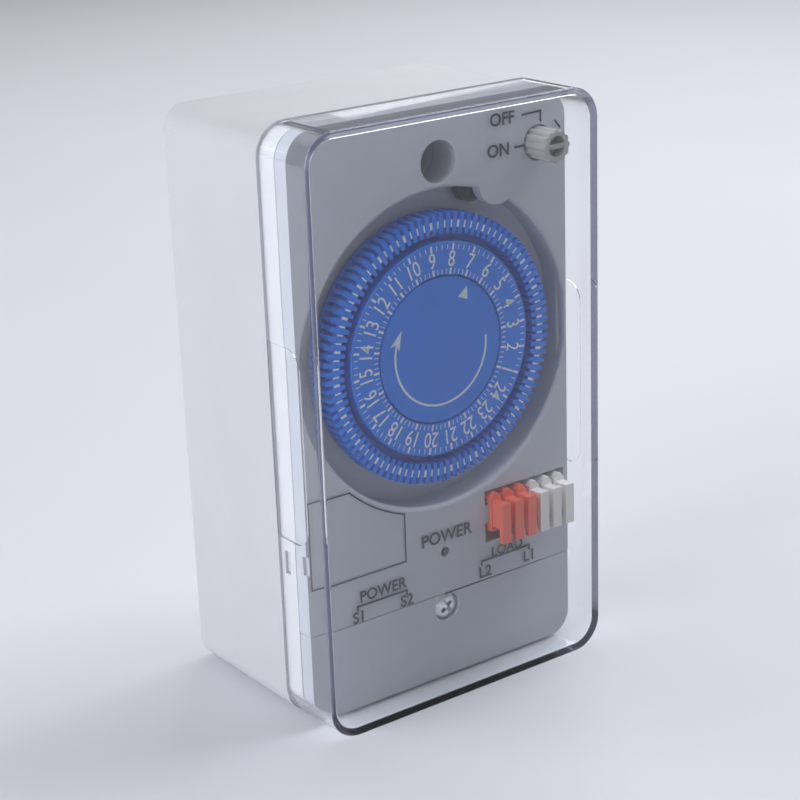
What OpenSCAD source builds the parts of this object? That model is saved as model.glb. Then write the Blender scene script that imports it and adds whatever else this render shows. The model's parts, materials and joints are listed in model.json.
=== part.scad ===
// Mechanical 24 hour time switch: a dial with clip-on riders, behind a clear cover.
// Millimetres. X to the right, Z up, the clear front faces -Y. The origin is under the
// middle of the object, on the surface it stands on.

/* [Body] */
// Width across the clear cover
body_w = 69.6; // [69.2:0.1:70.2]
// Height of the cover and the housing
body_h = 120.7; // [120.4:0.1:121.4]
// Depth from the clear front to the wall face
body_d = 50.8; // [50.2:0.2:56]
// Corner radius seen from the front
corner_r = 6.6; // [6.2:0.1:7]
// Wall thickness of the rear housing
shell_t = 2; // [1.6:0.1:2.2]
// How far each side of the housing is set in from the cover's side
side_step = 0.55; // [0.4:0.05:0.7]

/* [Clear cover] */
// Wall thickness of the clear cover
cover_t = 1.4; // [1.3:0.05:1.45]
// Depth of the clear cover
cover_d = 16.3; // [16:0.1:16.8]
// Depth of the finger grips in the cover's sides
grip_t = 0.4; // [0.2:0.1:0.5]

/* [Panel] */
// Distance from the clear front back to the panel's face
panel_at = 7.6; // [7.5:0.05:7.7]
// Thickness of the panel
panel_t = 2; // [1.8:0.1:2.2]
// Height of the seam between the panel and the terminal cover
seam_z = 20.1; // [19.9:0.1:20.2]
// Radius of the round recess that the dial turns in
recess_r = 32.3; // [31.9:0.1:32.4]

/* [Dial] */
// Outer radius of the setting ring
ring_r = 27.45; // [27:0.05:27.8]
// Radial width of the setting ring, which the riders grip
ring_w = 4.15; // [4:0.05:4.2]
// Setting steps in one turn: one each quarter of an hour
ring_steps = 96; // [96, 48]
// Outer radius of the number disc
number_r = 21.7; // [21.2:0.1:21.9]
// Radius of the centre disc, which stays still
centre_r = 14.8; // [14:0.1:15]

/* [Riders] */
// Distance between stored riders
rider_pitch = 3.4; // [3.3:0.05:3.4]
// Width of a rider
rider_w = 2.75; // [2.6:0.05:2.9]

/* [Hidden] */
$fn = 64;

// Small gaps
part_gap = 0.2;
run_gap = 0.05;
seat_gap = 0.02;
cut = 1;

// Housing and cover
rim_d = cover_d + 0.1;
back_d = body_d;
back_t = 2.2;
rim_t = 2.4;
box_w = body_w - 2 * side_step;
box_top = body_h - 2 * side_step;
box_r = 4.7;
back_edge = 0.8;
collar_t = 1.2;
collar_front = panel_at + 3.8;
collar_back = rim_d + 2;
grip_z = [39.6, 79.4];
grip_front = 5.4;
grip_r = 4;
latch_z = [31.6, 36.5];
latch_d = [13.3, 15.1];
wall_hole_r = 1.9;
wall_hole_x = 23;
wall_hole_z = [18.1, 101.6];
knockout_r = 8.5;

// Front panel and terminal cover
inner_w = body_w - 2 * cover_t - 2 * part_gap;
inner_z = [cover_t + part_gap, body_h - cover_t - part_gap];
inner_r = corner_r - cover_t - part_gap;
panel_gap = 1.15;
plate_back = panel_at + panel_t;
skirt_back = panel_at + 3.6;
skirt_t = 1.6;
module_w = inner_w - 2 * collar_t - 2 * part_gap;
dial_x = -0.15;
dial_z = 72;
recess_t = 0.9;
floor_d = panel_at + 6;
floor_back = floor_d + 1.2;
mouth_r = 0.9;
hub_hole_r = 5.5;
bulge = [14.75, 103.2];
bulge_r = 4.5;
bulge_back = 10.2;
well = [0.3, 109.5];
well_r = 4.25;
well_t = 0.95;
knob = [25.1, 109.5];
knob_hole_r = 3.62;
knob_seat = panel_at + 1.6;
led = [-0.7, 29.15];
led_hole_r = 1.15;
label_x = [-32.6, -10.6];
label_z = [29.8, 48.45];
label_arc_r = 33.3;
groove_w = 0.45;
groove_t = 0.2;
post_spots = [[-25, 110], [14, 113.5], [-27, 43], [27, 43]];
post_r = 2.4;
board_spots = [[-26.5, 23.5], [-26.5, 36.3], [26.5, 23.5], [26.5, 36.3]];
board_hole_r = 1.2;
board_d = [17, 18.6];

// Rider rack: a slot with a rail across it
slot_x = [9.7, 30.65];
slot_z = [28.2, 39.5];
rail_z = [32.5, 36.4];
rail_back = 11.6;
rack_floor = 13.2;
rider_x = 11.88;

// Terminals
cover_screw = [-0.6, 16.9];
counterbore_r = 3.05;
block_w = 55;
block_z = [3, 18.9];
block_d = [14.5, 30];
terminal_x = [-22.3, -10.6, 10.2, 21.7];
terminal_z = 10.5;
bay_w = 8;

// Movement case and the parts inside it
case_w = 58.6;
case_z = [40, 117];
case_d = [15, 37];
case_t = 1.2;
plate_d = [23, 24];
spindle_r = 1.8;
arbor_r = 0.8;
trip = [10.7, 102.9];
trip_r = 3.45;
trip_shaft_r = 1;
trip_d = [10.8, 12.8];
rocker = [19, 104];
rocker_d = [17.6, 19.6];
switch_x = [15.8, 27.4];
switch_z = [88, 99.8];
switch_d = [16.4, 23];
plunger = [24, 19.4];

// Gear train: number of teeth and the angle of each wheel from the one before it
tooth = 0.5;
dial_teeth = 72;
a_pinion = 12;
a_wheel = 40;
b_pinion = 16;
b_wheel = 36;
motor_teeth = 12;
a_angle = 215;
b_angle = -25;
motor_angle = 10;
function pitch_r(n) = n * tooth / 2;
function step(from, r, a) = from + r * [cos(a), sin(a)];
dial_at = [dial_x, dial_z];
a_at = step(dial_at, pitch_r(dial_teeth + a_pinion), a_angle);
b_at = step(a_at, pitch_r(a_wheel + b_pinion), b_angle);
motor_at = step(b_at, pitch_r(b_wheel + motor_teeth), motor_angle);
can_r = 11.5;
can_d = [24, 33];
ear_r = can_r + 2.2;
ear_angles = [150, 330];

// Phase of a gear that meshes with a driver of n1 teeth at phase p1, in the direction a
function mesh_phase(n1, p1, n2, a) = a + 180 + 180 / n2 - (p1 - a) * n1 / n2;
a_phase = mesh_phase(dial_teeth, 0, a_pinion, a_angle);
b_phase = mesh_phase(a_wheel, 0, b_pinion, b_angle);
motor_phase = mesh_phase(b_wheel, 0, motor_teeth, motor_angle);

panel_grey = [0.60, 0.62, 0.66];
housing_grey = [0.84, 0.85, 0.87];
dial_blue = [0.16, 0.36, 0.72];
orange = [0.95, 0.36, 0.24];
off_white = [0.86, 0.85, 0.82];
steel = [0.72, 0.73, 0.75];
brass = [0.80, 0.66, 0.32];

// ---- Shared shapes ----

// Y coordinate of a depth behind the clear front
function at(d) = d - body_d / 2;

// A front view outline (x, z) made solid from depth d0 to depth d1
module slab(d0, d1) {
    translate([0, at(d1), 0]) rotate([90, 0, 0]) linear_extrude(d1 - d0) children();
}

// A round bar or bore along Y
module bar(p, r, d0, d1) {
    translate([p[0], at(d1), p[1]]) rotate([90, 0, 0]) cylinder(r = r, h = d1 - d0);
}

// A plain block from its ranges in x, depth and z
module block(x, d, z) {
    translate([x[0], at(d[0]), z[0]]) cube([x[1] - x[0], d[1] - d[0], z[1] - z[0]]);
}

// Points of a rectangle with round corners, seen from the front
function round_box(w, z0, z1, r, n = 10) = [
    for (q = [0:3], k = [0:n])
        let (a = 90 * q + 90 * k / n,
             cx = (q == 0 || q == 3 ? 1 : -1) * (w / 2 - r),
             cz = q < 2 ? z1 - r : z0 + r)
        [cx + r * cos(a), cz + r * sin(a)]
];

// Points of a spur gear centred on the origin
function gear_points(n, phase) = [
    for (i = [0:n - 1], k = [0:3])
        let (a = phase + 360 / n * (i + [-0.27, -0.14, 0.14, 0.27][k]),
             r = pitch_r(n) + (k == 1 || k == 2 ? 0.9 : -1.2) * tooth)
        r * [cos(a), sin(a)]
];

module gear(p, n, phase, d0, d1) {
    slab(d0, d1) translate(p) polygon(gear_points(n, phase));
}

// Points of one side of the setting ring: notches of depth t cut from radius r
function notched_circle(r, t, open) = [
    for (i = [0:ring_steps - 1], k = [0:3])
        let (a = 360 / ring_steps * (i + [-0.5 * open, 0.5 * open, 0.5 * open, 1 - 0.5 * open][k]))
        (k == 0 ? r + t : k == 1 ? r + t : r) * [cos(a), sin(a)]
];

// A screw along Y: head, shank and a cross recess
module screw(p, head_r, head_d, shank_r, d0, d1) {
    difference() {
        union() {
            bar(p, head_r, d0, d0 + head_d);
            bar(p, shank_r, d0 + head_d / 2, d1);
        }
        for (a = [45, 135])
            translate([p[0], at(d0), p[1]]) rotate([0, a, 0])
                cube([head_r * 1.15, head_d * 1.1, head_r * 0.3], center = true);
    }
}

// ---- Housing, cover and panel ----

// The housing's box, made smaller all round by the inset, with its back edge cut off by e
module housing_block(inset, e, d0, d1) {
    hull() {
        slab(d0, d1 - e) polygon(round_box(box_w - 2 * inset, inset, box_top - inset, box_r - inset));
        slab(d1 - 0.1, d1) polygon(round_box(box_w - 2 * inset - 2 * e, inset + e,
            box_top - inset - e, box_r - inset - e));
    }
}

module rear_housing() {
    color(housing_grey) difference() {
        union() {
            difference() {
                union() {
                    housing_block(0, back_edge, rim_d, back_d);
                    slab(rim_d, rim_d + rim_t)
                        polygon(round_box(body_w - 0.4, 0.2, body_h - 0.2, corner_r - 0.2));
                }
                housing_block(shell_t, 0.4, rim_d - 0.5, back_d - back_t);
            }
            slab(collar_front, collar_back) difference() {
                polygon(round_box(inner_w, inner_z[0], inner_z[1], inner_r));
                polygon(round_box(inner_w - 2 * collar_t, inner_z[0] + collar_t,
                    inner_z[1] - collar_t, inner_r - collar_t));
            }
            bar(well, 3.6, case_d[1], back_d - 1);
            for (x = [-wall_hole_x, wall_hole_x], z = wall_hole_z)
                bar([x, z], 5, back_d - back_t - 1.2, back_d - 1);
            for (s = [-1, 1])
                block([s * 20 - 1, s * 20 + 1], [19, block_d[1]], [1, block_z[0]]);
        }
        bar(well, 1.5 + seat_gap, case_d[1], back_d - 4);
        for (x = [-wall_hole_x, wall_hole_x], z = wall_hole_z)
            bar([x, z], wall_hole_r, back_d - 2 * back_t, back_d + cut);
        for (s = [-1, 1])
            block([s * inner_w / 2 - 2, s * inner_w / 2 + 2], latch_d, latch_z);
        knockout_grooves();
    }
}

// Grooves round the blank cable entries: two underneath and one in the wall face
module knockout_grooves() {
    for (x = [-15, 15])
        translate([x, at(36), -cut]) difference() {
            cylinder(r = knockout_r, h = cut + 1.1);
            translate([0, 0, -cut]) cylinder(r = knockout_r - 0.9, h = 3 * cut + 1.1);
        }
    difference() {
        bar([0, 42], knockout_r, back_d - 1.3, back_d + cut);
        bar([0, 42], knockout_r - 0.9, back_d - 2, back_d + 2 * cut);
    }
}

module clear_cover() {
    color([0.9, 0.93, 0.95, 0.3]) difference() {
        slab(0, cover_d) polygon(round_box(body_w, 0, body_h, corner_r));
        slab(cover_t, cover_d + cut)
            polygon(round_box(body_w - 2 * cover_t, cover_t, body_h - cover_t, corner_r - cover_t));
        for (s = [-1, 1])
            translate([s * (body_w / 2 - grip_t / 2), 0, 0]) finger_grip();
    }
}

// The shallow dish that a finger grips, open towards the rim
module finger_grip() {
    t = grip_t + 0.02;
    for (z = [grip_z[0] + grip_r, grip_z[1] - grip_r])
        translate([-t / 2, at(grip_front + grip_r), z]) rotate([0, 90, 0])
            cylinder(r = grip_r, h = t);
    block([-t / 2, t / 2], [grip_front + grip_r, cover_d + cut], grip_z);
    block([-t / 2, t / 2], [grip_front, cover_d + cut], [grip_z[0] + grip_r, grip_z[1] - grip_r]);
}

// Outline shared by the panel and the terminal cover, between two heights
module panel_outline(inset, z0, z1) {
    intersection() {
        translate([-panel_gap / 2, 0])
            polygon(round_box(inner_w - panel_gap - 2 * inset, inner_z[0] + inset,
                inner_z[1] - inset, inner_r - inset));
        translate([-body_w, z0]) square([2 * body_w, z1 - z0]);
    }
}

// Keeps what lies within a width w about the middle
module between_sides(w) {
    intersection() {
        children();
        translate([-w / 2, 0]) square([w, body_h]);
    }
}

module at_dial() translate(dial_at) children();

// The recess's round edge, with the lug over the trip wheel bulging into it
module recess_mouth() {
    difference() {
        at_dial() circle(recess_r);
        translate(bulge) circle(bulge_r);
    }
}

// What rounds off the recess's front edge, all the way round but for the lug
module mouth_rounding() {
    intersection() {
        translate([dial_x, at(panel_at), dial_z]) rotate([90, 0, 0]) rotate_extrude() difference() {
            translate([recess_r - cut, -mouth_r]) square([mouth_r + cut, mouth_r + cut]);
            translate([recess_r + mouth_r, -mouth_r]) circle(mouth_r);
        }
        slab(panel_at - cut, plate_back) difference() {
            panel_outline(0.3, 0, body_h);
            translate(bulge) circle(bulge_r);
        }
    }
}

module front_panel() {
    color(panel_grey) difference() {
        union() {
            slab(panel_at, plate_back) panel_outline(0, seam_z + 0.1, body_h);
            slab(plate_back - 0.5, skirt_back) difference() {
                panel_outline(0, seam_z + 0.1, body_h);
                panel_outline(skirt_t, 0, body_h);
            }
            slab(plate_back - 0.5, floor_back) between_sides(module_w)
                at_dial() circle(recess_r + recess_t);
            bar(trip, trip_r + 1.45, plate_back - 0.5, floor_back);
            bar(well, well_r + well_t, plate_back - 0.5, floor_back);
            bar(knob, knob_hole_r + 0.9, plate_back - 0.5, skirt_back);
            for (p = post_spots) bar(p, post_r, plate_back - 0.5, floor_back);
            for (p = board_spots) {
                bar(p, 2, plate_back - 0.5, board_d[0]);
                bar(p, board_hole_r - run_gap, board_d[0] - 0.5, board_d[1] + 0.4);
            }
            block([slot_x[0] - 0.8, module_w / 2], [plate_back - 0.5, rack_floor + 0.9],
                [slot_z[0] - 0.8, slot_z[1] + 0.8]);
            block([22.7, 23.9], [panel_at - 0.4, panel_at + 0.5], [slot_z[1] + 0.1, slot_z[1] + 0.9]);
            latch_hooks();
        }
        dial_recess();
        mouth_rounding();
        rider_slot();
        bar(well, well_r, panel_at - cut, floor_back + cut);
        bar(knob, knob_hole_r, panel_at - cut, knob_seat);
        bar(knob, 1.5 + run_gap, panel_at, skirt_back + cut);
        bar(led, led_hole_r, panel_at - cut, plate_back + cut);
        bar(trip, trip_shaft_r + run_gap, floor_d - 1, floor_back + cut);
        for (p = post_spots) bar(p, 1 + seat_gap, plate_back + 0.6, floor_back + cut);
        slab(panel_at - cut, panel_at + groove_t) difference() {
            label_outline(0);
            label_outline(groove_w);
        }
        block([-body_w / 2, -inner_w / 2 + 0.7], [panel_at - cut, panel_at + 1.2], [33.2, 37.2]);
    }
}

// The label's outline under the dial, made smaller all round by the inset
module label_outline(inset) {
    difference() {
        translate([label_x[0] + inset, label_z[0] + inset])
            square([label_x[1] - label_x[0] - 2 * inset, label_z[1] - label_z[0] - 2 * inset]);
        at_dial() circle(label_arc_r + inset);
    }
}

module dial_recess() {
    slab(panel_at - cut, plate_back) intersection() {
        recess_mouth();
        panel_outline(0.3, 0, body_h);
    }
    slab(plate_back - 0.01, bulge_back) between_sides(module_w - 1.6) recess_mouth();
    slab(bulge_back - 0.01, floor_d) between_sides(module_w - 1.6) at_dial() circle(recess_r);
    bar(trip, trip_r + 0.4, plate_back + 0.8, floor_d);
    bar(dial_at, hub_hole_r, floor_d - cut, floor_back + cut);
}

// The slot that stores the riders, with the rail left standing in it
module rider_slot() {
    difference() {
        union() {
            block(slot_x, [panel_at - cut, skirt_back], slot_z);
            block([slot_x[0], module_w / 2 - 0.8], [panel_at, rack_floor], slot_z);
        }
        block([slot_x[0] - cut, slot_x[1] + cut], [panel_at, rail_back], rail_z);
    }
}

// Hooks that snap into the windows of the rear housing's collar
module latch_hooks() {
    for (s = [-1, 1]) {
        outer = s * (module_w / 2);
        block([min(outer, outer - s * 1.2), max(outer, outer - s * 1.2)],
            [plate_back - 0.5, latch_d[1] - 0.2], [latch_z[0] + 0.4, latch_z[1] - 0.4]);
        tip = s * (module_w / 2 + 0.9);
        block([min(tip, outer - s * 0.5), max(tip, outer - s * 0.5)],
            [latch_d[0] + 0.2, latch_d[1] - 0.2], [latch_z[0] + 0.4, latch_z[1] - 0.4]);
    }
}

module terminal_cover() {
    color(panel_grey) difference() {
        union() {
            slab(panel_at, plate_back) panel_outline(0, 0, seam_z - 0.1);
            slab(plate_back - 0.5, skirt_back) difference() {
                panel_outline(0, 0, seam_z - 0.1);
                panel_outline(skirt_t, 0, seam_z - 0.1 + cut);
            }
        }
        bar(cover_screw, counterbore_r, panel_at - cut, plate_back - 0.6);
        bar(cover_screw, 1.5 + 0.2, panel_at, plate_back + cut);
    }
}

module terminal_cover_screw() {
    color(steel) screw(cover_screw, 2.7, 1.1, 1.5, plate_back - 1.75, 24);
}

// ---- Dial ----

module dial_ring() {
    color(dial_blue) difference() {
        union() {
            slab(panel_at + 0.15, floor_d - 1.7) at_dial() difference() {
                polygon(notched_circle(ring_r, -1.35, 0.46));
                polygon(notched_circle(ring_r - ring_w, 1.05, 0.46));
            }
            bar(dial_at, ring_r - 0.3, floor_d - 1.7, floor_d - 0.7);
        }
        bar(dial_at, spindle_r + run_gap, floor_d - 2, floor_d);
    }
}

module number_disc() {
    color(dial_blue) difference() {
        bar(dial_at, number_r, panel_at + 0.15, floor_d - 1.7);
        bar(dial_at, centre_r + 0.3, panel_at - cut, floor_d);
        difference() {
            bar(dial_at, number_r - 1, panel_at + 1.8, floor_d);
            bar(dial_at, centre_r + 1.3, panel_at, floor_d + cut);
        }
    }
}

module centre_disc() {
    color(dial_blue) difference() {
        union() {
            bar(dial_at, centre_r, panel_at + 0.2, panel_at + 1.5);
            bar(dial_at, 3.2, panel_at + 1.2, panel_at + 3.8);
        }
        bar(dial_at, spindle_r + seat_gap, panel_at + 1.2, panel_at + 4);
    }
}

module dial_spindle() {
    color(steel) bar(dial_at, spindle_r, panel_at + 1.3, plate_d[1]);
}

module dial_gear() {
    color(brass) difference() {
        union() {
            gear(dial_at, dial_teeth, 0, 16, 17.4);
            bar(dial_at, hub_hole_r - 0.3, floor_d - 0.7, 16.4);
        }
        bar(dial_at, spindle_r + run_gap, floor_d - cut, 18);
        for (a = [30:60:330])
            bar(step(dial_at, 11.5, a), 3.2, 15, 18);
    }
}

module clutch_spring() {
    color(steel) difference() {
        bar(dial_at, 4.6, 17.4, 17.8);
        bar(dial_at, spindle_r + run_gap, 17, 18);
    }
}

// ---- Gear train and motor ----

module reduction_gear_a() {
    color(off_white) difference() {
        union() {
            gear(a_at, a_pinion, a_phase, 15.6, 18.4);
            gear(a_at, a_wheel, 0, 18.4, 19.4);
        }
        bar(a_at, arbor_r + run_gap, 15, 20);
    }
}

module reduction_gear_b() {
    color(off_white) difference() {
        union() {
            gear(b_at, b_pinion, b_phase, 18, 20.4);
            gear(b_at, b_wheel, 0, 20.4, 21.4);
        }
        bar(b_at, arbor_r + run_gap, 17, 22);
    }
}

module gear_arbors() {
    color(steel) {
        bar(a_at, arbor_r, 15.1, plate_d[1]);
        bar(b_at, arbor_r, 17.6, plate_d[1]);
    }
}

module motor_rotor() {
    color(brass) {
        gear(motor_at, motor_teeth, motor_phase, 20, 22.6);
        bar(motor_at, 0.75, 22.4, 26);
    }
}

module motor_can() {
    color(steel) difference() {
        union() {
            bar(motor_at, can_r, can_d[0], can_d[1]);
            bar(motor_at, 3, can_d[1] - 0.5, can_d[1] + 1);
            for (a = ear_angles)
                bar(step(motor_at, ear_r, a), 2.6, can_d[0], can_d[0] + 1);
        }
        bar(motor_at, 0.75 + run_gap, plate_d[0], 26.4);
        for (a = ear_angles)
            bar(step(motor_at, ear_r, a), 1.3, plate_d[0], 26);
    }
}

module motor_screws() {
    color(steel) for (a = ear_angles)
        mirror_screw(step(motor_at, ear_r, a), 2, 1.2, 1, plate_d[0], can_d[0] + 2.2);
}

// A screw put in from behind: its head is at the deep end
module mirror_screw(p, head_r, head_d, shank_r, d0, d1) {
    difference() {
        union() {
            bar(p, shank_r, d0, d1 - head_d / 2);
            bar(p, head_r, d1 - head_d, d1);
        }
        for (a = [45, 135])
            translate([p[0], at(d1), p[1]]) rotate([0, a, 0])
                cube([head_r * 1.15, head_d, head_r * 0.3], center = true);
    }
}

module gear_plate() {
    color(brass) difference() {
        slab(plate_d[0], plate_d[1]) polygon(round_box(54.4, 43, 107, 2));
        bar(dial_at, spindle_r + seat_gap, plate_d[0] - cut, plate_d[1] + cut);
        for (p = [a_at, b_at]) bar(p, arbor_r + seat_gap, plate_d[0] - cut, plate_d[1] + cut);
        bar(motor_at, 2.2, plate_d[0] - cut, plate_d[1] + cut);
        for (a = ear_angles)
            bar(step(motor_at, ear_r, a), 1 + seat_gap, plate_d[0] - cut, plate_d[1] + cut);
        bar(rocker, 1 + seat_gap, plate_d[0] - cut, plate_d[1] + cut);
        bar(well, well_r + well_t + 0.5, plate_d[0] - cut, plate_d[1] + cut);
        bar([22, 84.5], 2.6, plate_d[0] - cut, plate_d[1] + cut);
        for (p = post_spots) bar(p, post_r + 0.9, plate_d[0] - cut, plate_d[1] + cut);
    }
}

module movement_case() {
    color([0.25, 0.26, 0.28]) difference() {
        union() {
            difference() {
                slab(case_d[0], case_d[1]) polygon(round_box(case_w, case_z[0], case_z[1], 3));
                slab(case_d[0] - cut, case_d[1] - case_t)
                    polygon(round_box(case_w - 2 * case_t, case_z[0] + case_t,
                        case_z[1] - case_t, 2));
            }
            for (s = [-1, 1])
                block([min(s * 25.2, s * 28.5), max(s * 25.2, s * 28.5)],
                    [plate_d[1], case_d[1] - 0.5], [50, 97]);
            bar(well, well_r + well_t, case_d[0], case_d[1]);
            for (p = post_spots) bar(p, post_r + 0.4, floor_back, case_d[1]);
        }
        bar(well, well_r, case_d[0] - cut, case_d[1] - 3);
        bar(well, 1.7, case_d[0], case_d[1] + cut);
        for (p = post_spots) {
            bar(p, 1.1, case_d[0] - cut, case_d[1]);
            bar(p, 2.05, case_d[0] + 4, case_d[1] + cut);
        }
        block([19.5, 24.5], [27.5, 33], [case_z[0] - cut, case_z[0] + case_t + cut]);
    }
}

module case_screws() {
    color(steel) for (p = post_spots)
        mirror_screw(p, 1.9, 1.2, 1, plate_back + 1, case_d[0] + 5.2);
}

module fixing_screw() {
    color(steel) screw(well, 2.9, 1.8, 1.5, case_d[1] - 4.8, back_d - 5);
}

// ---- Trip mechanism and switch ----

module override_knob() {
    bar_h = 1;
    color([0.83, 0.81, 0.77]) difference() {
        union() {
            bar(knob, 2.95, 1.8, knob_seat - 0.2);
            for (a = [0:30:330])
                bar(step(knob, 2.62, a), 0.7, 1.9, knob_seat - 0.2);
            bar(knob, 1.5, knob_seat - 0.5, 21);
            bar(knob, 2.1, 17.6, 19.6);
        }
        difference() {
            bar(knob, 2.1, 0, 4.4);
            block([knob[0] - 3, knob[0] + 3], [2.1, 5], [knob[1] - bar_h / 2, knob[1] + bar_h / 2]);
        }
        block([knob[0] - 3, knob[0] + 3], [17.5, 19.7], [knob[1] + 1.2, knob[1] + 3]);
    }
}

module trip_wheel() {
    color([0.13, 0.17, 0.18]) {
        bar(trip, trip_r, trip_d[0], trip_d[1]);
        bar(trip, trip_shaft_r, trip_d[1] - 0.5, 20.4);
        for (a = [0, 45])
            translate([trip[0], at(18.6), trip[1]]) rotate([0, a, 0]) cube([3, 2, 3], center = true);
    }
}

module trip_rocker() {
    color(off_white) difference() {
        union() {
            block([13.9, 27], rocker_d, [rocker[1] - 1, rocker[1] + 1]);
            block([25, 27], rocker_d, [rocker[1], rocker[1] + 2.4]);
            bar(rocker, 2, rocker_d[0], rocker_d[1] + 2);
        }
        bar(rocker, 1 + run_gap, rocker_d[0] - cut, rocker_d[1] + 3);
    }
}

module rocker_pin() {
    color(steel) bar(rocker, 1, rocker_d[0] - 0.6, plate_d[1]);
}

module switch_body() {
    color([0.16, 0.17, 0.19]) difference() {
        block(switch_x, switch_d, switch_z);
        translate([plunger[0], at(plunger[1]), switch_z[1] - 3.2])
            cylinder(r = 1 + run_gap, h = 4);
        for (x = [switch_x[0] + 1, switch_x[1] - 1], z = [switch_z[0] + 1])
            bar([x, z], 0.5, switch_d[0] - cut, switch_d[1] + cut);
    }
}

module switch_plunger() {
    color([0.75, 0.2, 0.15])
        translate([plunger[0], at(plunger[1]), switch_z[1] - 1.8])
            cylinder(r = 1, h = 1.8 + 2.5);
}

module switch_tabs() {
    color(brass) for (x = [19.5, 23.5])
        block([x - 1.2, x + 1.2], [19.2, 19.8], [switch_z[0] - 3.5, switch_z[0]]);
}

// ---- Electronics and terminals ----

module circuit_board() {
    color([0.10, 0.38, 0.22]) difference() {
        block([-29, 29], board_d, [21, 38.8]);
        for (p = board_spots) bar(p, board_hole_r, board_d[0] - cut, board_d[1] + cut);
    }
}

module power_led() {
    color([0.85, 0.12, 0.1]) {
        bar(led, 1.5, plate_back + 0.4, 13.4);
        bar(led, 1.9, 13.2, 14);
        for (s = [-1, 1])
            block([led[0] + s * 1.27 - 0.25, led[0] + s * 1.27 + 0.25], [13.8, 17],
                [led[1] - 0.25, led[1] + 0.25]);
    }
}

module smoothing_capacitor() {
    color([0.18, 0.2, 0.3]) bar([-20, 30], 4, 18.6, 30);
}

module film_capacitor() {
    color([0.75, 0.62, 0.2]) block([-12, -1], [18.6, 27], [25, 35]);
}

module reserve_battery() {
    color([0.3, 0.55, 0.4]) bar([9, 30], 5.8, 18.6, 29);
}

module timing_crystal() {
    color(steel) block([18, 22], [18.6, 20.6], [24, 33]);
}

module terminal_block() {
    color([0.2, 0.21, 0.23]) difference() {
        union() {
            block([-block_w / 2, block_w / 2], block_d, block_z);
            bar(cover_screw, 3, plate_back + 0.1, block_d[0] + 1);
            for (s = [-1, 1])
                block([s * 6 - 0.8, s * 6 + 0.8], [12, block_d[0] + 0.5], block_z);
        }
        for (x = terminal_x) {
            block([x - bay_w / 2, x + bay_w / 2], [block_d[0] - 3, block_d[0] + 5.5],
                [block_z[0] - cut, 15.6]);
            bar([x, terminal_z], 1.75 + seat_gap, block_d[0], block_d[0] + 12);
        }
        bar(cover_screw, 1.5 + seat_gap, plate_back, 25);
    }
}

module clamp_plates() {
    color(brass) difference() {
        for (x = terminal_x)
            block([x - 3.6, x + 3.6], [block_d[0] + 1, block_d[0] + 2.2],
                [terminal_z - 4, terminal_z + 4]);
        for (x = terminal_x)
            bar([x, terminal_z], 1.75 + seat_gap, block_d[0], block_d[0] + 4);
    }
}

module terminal_screws() {
    color(steel) for (x = terminal_x)
        screw([x, terminal_z], 3.3, 2, 1.75, block_d[0] - 1.1, block_d[0] + 11);
}

// Points of a wire's rings: eight sides round each point of its route
function unit(v) = v / norm(v);
function heading(path, i) = unit(path[min(i + 1, len(path) - 1)] - path[max(i - 1, 0)]);
function wire_rings(path, r) = [
    for (i = [0:len(path) - 1], k = [0:7])
        let (t = heading(path, i),
             u = unit(cross(t, [1, 0, 0])),
             v = cross(t, u))
        path[i] + r * (cos(45 * k) * u + sin(45 * k) * v)
];

module wire(path, r) {
    n = len(path);
    sides = [for (i = [0:n - 2], k = [0:7])
        [8 * i + k, 8 * i + (k + 1) % 8, 8 * (i + 1) + (k + 1) % 8, 8 * (i + 1) + k]];
    ends = [[for (k = [7:-1:0]) k], [for (k = [0:7]) 8 * (n - 1) + k]];
    polyhedron(wire_rings(path, r), concat(sides, ends), convexity = 4);
}

// A route given as x, depth, z
function routed(path) = [for (p = path) [p[0], at(p[1]), p[2]]];

module supply_wires() {
    color([0.75, 0.15, 0.12]) for (x = [terminal_x[0], terminal_x[1] - 3])
        wire(routed([[x, 23, 18.9], [x, 23, 20.3], [x, 22.2, 22.2], [x, 20.3, 23],
            [x, 18.6, 23]]), 0.7);
}

module load_wires() {
    color([0.15, 0.2, 0.5]) for (k = [0, 1])
        let (x = terminal_x[2 + k], lane = 21.2 + 1.9 * k, tab = 19.5 + 4 * k)
        wire(routed([[x, 26, 18.9], [x, 26, 20.5], [x, 27.5, 22.5], [x + (lane - x) * 0.3, 30, 25],
            [lane, 31, 32], [lane, 31, 38], [lane, 31, 60], [lane, 31, 78], [lane, 30, 81],
            [lane, 27.5, 83], [lane - 0.2, 24, 84], [tab, 21.5, 84], [tab, 19.8, 86]]), 0.7);
}

// ---- Riders ----

// Front view of a rider's head: a block with a gabled top
module head_outline(z0, z1) {
    w = rider_w - 0.1;
    polygon([[-w / 2, z0], [w / 2, z0], [w / 2, z1 - 1.1], [0.3, z1], [-0.3, z1],
        [-w / 2, z1 - 1.1]]);
}

module rider(i) {
    foot = slot_z[0];
    head_top = foot + 10.8;
    tab_w = rider_w - 0.5;
    translate([rider_x + rider_pitch * i, 0, 0]) {
        block([-tab_w / 2, tab_w / 2], [3.1, 4.2], [foot + 0.6, foot + 9.3]);
        block([-tab_w / 2 + 0.1, tab_w / 2 - 0.1], [4.1, 6.6], [foot + 3.6, foot + 9.1]);
        slab(6.5, panel_at - 0.2) head_outline(foot + 2.5, head_top);
        slab(panel_at - 0.3, 11.2) head_outline(rail_z[1] + 0.15, head_top);
        block([-rider_w / 2 + 0.05, rider_w / 2 - 0.05], [panel_at - 0.3, 11.2],
            [foot + 2.5, rail_z[0] - 0.15]);
    }
}

module on_rider(i) color(orange) rider(i);
module off_rider(i) color(off_white) rider(i + 3);

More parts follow.
